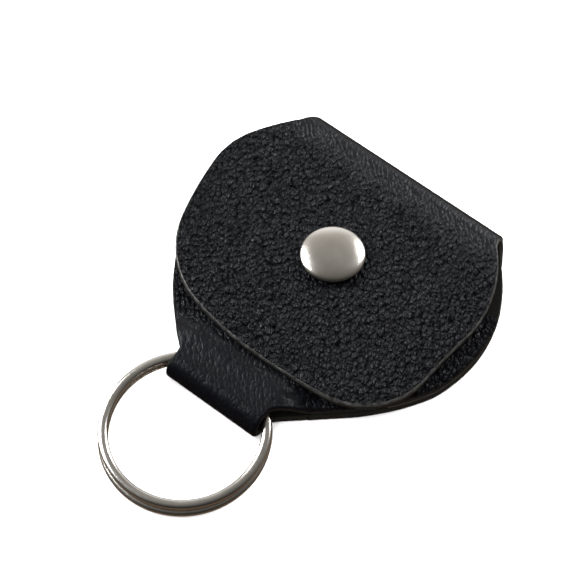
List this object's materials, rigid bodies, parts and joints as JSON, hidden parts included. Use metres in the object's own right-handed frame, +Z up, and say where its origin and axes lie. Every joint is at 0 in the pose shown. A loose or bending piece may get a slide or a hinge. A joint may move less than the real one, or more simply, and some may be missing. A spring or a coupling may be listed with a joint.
{
  "type": "pick holder",
  "caption": "Small round leather pouch for plectrums with a fold-over flap closed by a press stud, and a split key ring held in the folded neck of the leather.",
  "frame": {"origin": "centre of the bounding box, on the flat underside that lies on the table", "axes": "+Z up through the press stud, +Y from the ring towards the fold, X across the pouch"},
  "size_m": [0.0632, 0.0857, 0.0097],
  "materials": {
    "leather": "black pebbled grain, semi-gloss",
    "nickel": "polished nickel plate",
    "ring_steel": "nickel-plated, bright",
    "spring_wire": "drawn wire",
    "glue": "dull contact cement"
  },
  "bodies": {
    "case": {"back_panel": "leather", "pocket_panel": "leather", "seam_glue": "glue", "stud": "nickel", "stud_rivet": "nickel"},
    "fold": {"fold_bend_back": "leather", "fold_spine": "leather"},
    "flap": {"fold_bend_flap": "leather", "flap": "leather", "socket": "nickel", "socket_spring": "spring_wire", "cap_rivet": "nickel", "cap": "nickel"},
    "neck": {"loop_root_back": "leather", "loop_root_front": "leather", "ring_loop": "leather"},
    "ring": {"split_ring": "ring_steel"}
  },
  "joints": [
    {"name": "fold_lower", "type": "hinge", "parent": "case", "child": "fold", "pos_m": [0, 0.04129, 0.00158], "axis": [-1, 0, 0], "range_deg": [0, 82.5], "deforming": ["fold_bend_back"]},
    {"name": "flap_open", "type": "hinge", "parent": "fold", "child": "flap", "pos_m": [0, 0.04129, 0.00622], "axis": [-1, 0, 0], "range_deg": [0, 82.5], "deforming": ["fold_bend_flap", "socket_spring"]},
    {"name": "neck_flex", "type": "hinge", "parent": "case", "child": "neck", "pos_m": [0, -0.01272, 0.0031], "axis": [-1, 0, 0], "range_deg": [0, 50], "stiffness_Nm_per_rad": 0.02, "deforming": ["loop_root_back", "loop_root_front"]},
    {"name": "ring_turn", "type": "hinge", "parent": "neck", "child": "ring", "pos_m": [0, -0.02682, 0.0024], "axis": [0, -0.0645, 0.9979], "continuous": true}
  ],
  "couplings": [
    {"joint": "flap_open", "follows": "fold_lower", "ratio": 1}
  ]
}
